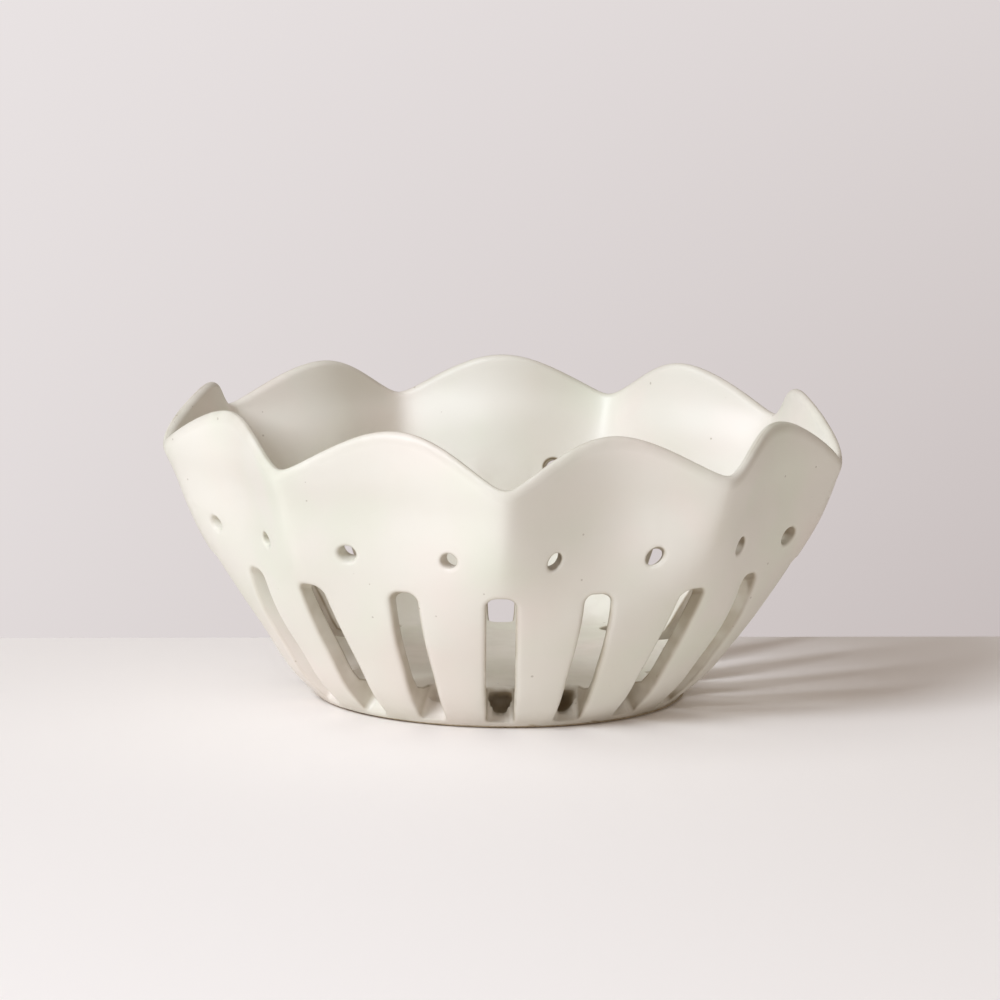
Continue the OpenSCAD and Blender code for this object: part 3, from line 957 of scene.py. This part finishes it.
class BOWL_OT_stage(bpy.types.Operator):
    """Sets up the pale table, the backdrop colour, the studio light and the camera"""

    bl_idname = "bowl.stage"
    bl_label = "Stage"
    bl_options = {"REGISTER", "UNDO"}

    def execute(self, context):
        colours = context.scene.bowl_colours
        self.table(colours)
        self.world(context.scene, colours)
        self.lamps(context.scene)
        self.camera(context.scene)
        context.scene.view_settings.view_transform = "Standard"
        return {"FINISHED"}

    @staticmethod
    def table(colours):
        far, near, side, skew = 0.0905, -2.6, 3.0, math.radians(3.5)
        mesh = bpy.data.meshes.new("table")
        mesh.from_pydata([(-side, near, 0), (side, near, 0), (side, far, 0), (-side, far, 0)], [], [(0, 1, 2, 3)])
        top = bpy.data.objects.new("table", mesh)
        top.rotation_euler.z = skew
        bpy.context.scene.collection.objects.link(top)
        material, tree = new_material("pale_painted_table")
        shader = node(tree, "ShaderNodeBsdfPrincipled", {"Base Color": rgba(colours.table), "Roughness": 0.7})
        node(tree, "ShaderNodeOutputMaterial", {"Surface": shader.outputs[0]})
        mesh.materials.append(material)

    @staticmethod
    def world(scene, colours):
        """The backdrop's colour where it is looked at, and a soft pale sky for the light on the bowl."""
        world = bpy.data.worlds.new("studio")
        world.use_nodes = True
        tree = world.node_tree
        tree.nodes.clear()
        ray = node(tree, "ShaderNodeLightPath").outputs
        sky = node(tree, "ShaderNodeBackground", {"Color": (1.0, 0.87, 0.78, 1), "Strength": 0.355}).outputs[0]
        # The backdrop falls into shade toward the right, and toward its foot, more so on the right
        way = node(tree, "ShaderNodeTexCoord").outputs["Generated"]
        way = node(tree, "ShaderNodeSeparateXYZ", {"Vector": way}).outputs
        to_right = node(tree, "ShaderNodeMapRange", {0: way["X"], 1: -0.09, 2: 0.09, 3: 0, 4: 1}).outputs[0]
        down = node(tree, "ShaderNodeMapRange", {0: way["Z"], 1: -0.08, 2: -0.19, 3: 0, 4: 1}).outputs[0]
        slant = node(tree, "ShaderNodeMath", {0: to_right, 1: 0.3, 2: 0.26}, operation="MULTIPLY_ADD").outputs[0]
        low = node(tree, "ShaderNodeMath", {0: down, 1: slant}, operation="MULTIPLY").outputs[0]
        shade = node(tree, "ShaderNodeMath", {0: to_right, 1: 0.42, 2: low}, operation="MULTIPLY_ADD").outputs[0]
        painted = blend(tree, shade, rgba(colours.wall), rgba(colours.wall_shade))
        wall = node(tree, "ShaderNodeBackground", {"Color": painted, "Strength": 1.0}).outputs[0]
        seen = node(
            tree, "ShaderNodeMath", {0: ray["Is Camera Ray"], 1: ray["Is Transmission Ray"]}, operation="MAXIMUM"
        ).outputs[0]
        lit = node(tree, "ShaderNodeMixShader", {0: seen, 1: sky, 2: wall}).outputs[0]
        node(tree, "ShaderNodeOutputWorld", {"Surface": lit})
        scene.world = world

    @staticmethod
    def lamps(scene):
        add = BOWL_OT_stage.area_lamp
        key = add(scene, "key_window", toward_left=43, above=35, size=0.9, watts=53, colour=(0.85, 0.91, 1.0))
        fill = add(scene, "soft_fill", toward_left=70, above=60, size=1.6, watts=11, colour=(0.9, 0.95, 1.0))
        bounce = add(scene, "right_bounce", toward_left=-70, above=40, size=1.6, watts=3, colour=(0.95, 0.98, 1.0))

    @staticmethod
    def area_lamp(scene, name, toward_left, above, size, watts, colour):
        """A square lamp aimed at the bowl: toward_left and above are degrees, measured from the front."""
        distance = 2.6
        lamp = bpy.data.lights.new(name, "AREA")
        lamp.size, lamp.energy, lamp.color = size, watts, colour
        a, e = math.radians(toward_left), math.radians(above)
        aim = Vector((0, 0, 0.05))
        way = Vector((-math.sin(a) * math.cos(e), -math.cos(a) * math.cos(e), math.sin(e)))
        placed = bpy.data.objects.new(name, lamp)
        placed.location = aim + way * distance
        placed.rotation_euler = way.to_track_quat("Z", "Y").to_euler()
        scene.collection.objects.link(placed)
        return placed

    @staticmethod
    def camera(scene):
        """The photo's view: far back, looking down by under ten degrees through a long lens."""
        down, roll = math.radians(9.674), math.radians(0.591)
        away, aim_x, aim_z = 1.8293, -0.00072, 0.06309
        seen = bpy.data.cameras.new("photo_view")
        seen.lens, seen.sensor_width = 202.88, 36
        placed = bpy.data.objects.new("photo_view", seen)
        turn = Matrix.Rotation(math.pi / 2 - down, 4, "X") @ Matrix.Rotation(roll, 4, "Z")
        spot = (aim_x, -away * math.cos(down), aim_z + away * math.sin(down))
        placed.matrix_world = Matrix.Translation(spot) @ turn
        scene.collection.objects.link(placed)
        scene.camera = placed


class BOWL_PT_panel(bpy.types.Panel):
    """The bowl's sizes, colours and steps"""

    bl_idname = "BOWL_PT_panel"
    bl_label = "Petalled Colander Bowl"
    bl_space_type = "VIEW_3D"
    bl_region_type = "UI"
    bl_category = "Bowl"

    def draw(self, context):
        layout = self.layout
        for settings in (context.scene.bowl_sizes, context.scene.bowl_colours):
            box = layout.box()
            for name in settings.bl_rna.properties.keys():
                if name not in ("rna_type", "name"):
                    box.prop(settings, name)
        for step in STEPS:
            layout.operator(step.bl_idname)


STEPS = (BOWL_OT_glazed_body, BOWL_OT_bare_foot, BOWL_OT_stage)
CLASSES = (BowlSizes, BowlColours, *STEPS, BOWL_PT_panel)


def register():
    for cls in CLASSES:
        bpy.utils.register_class(cls)
    bpy.types.Scene.bowl_sizes = bpy.props.PointerProperty(type=BowlSizes)
    bpy.types.Scene.bowl_colours = bpy.props.PointerProperty(type=BowlColours)


def unregister():
    del bpy.types.Scene.bowl_colours
    del bpy.types.Scene.bowl_sizes
    for cls in reversed(CLASSES):
        bpy.utils.unregister_class(cls)


def main():
    register()
    bpy.ops.bowl.glazed_body()
    bpy.ops.bowl.bare_foot()
    bpy.ops.bowl.stage()


if __name__ == "__main__":
    main()
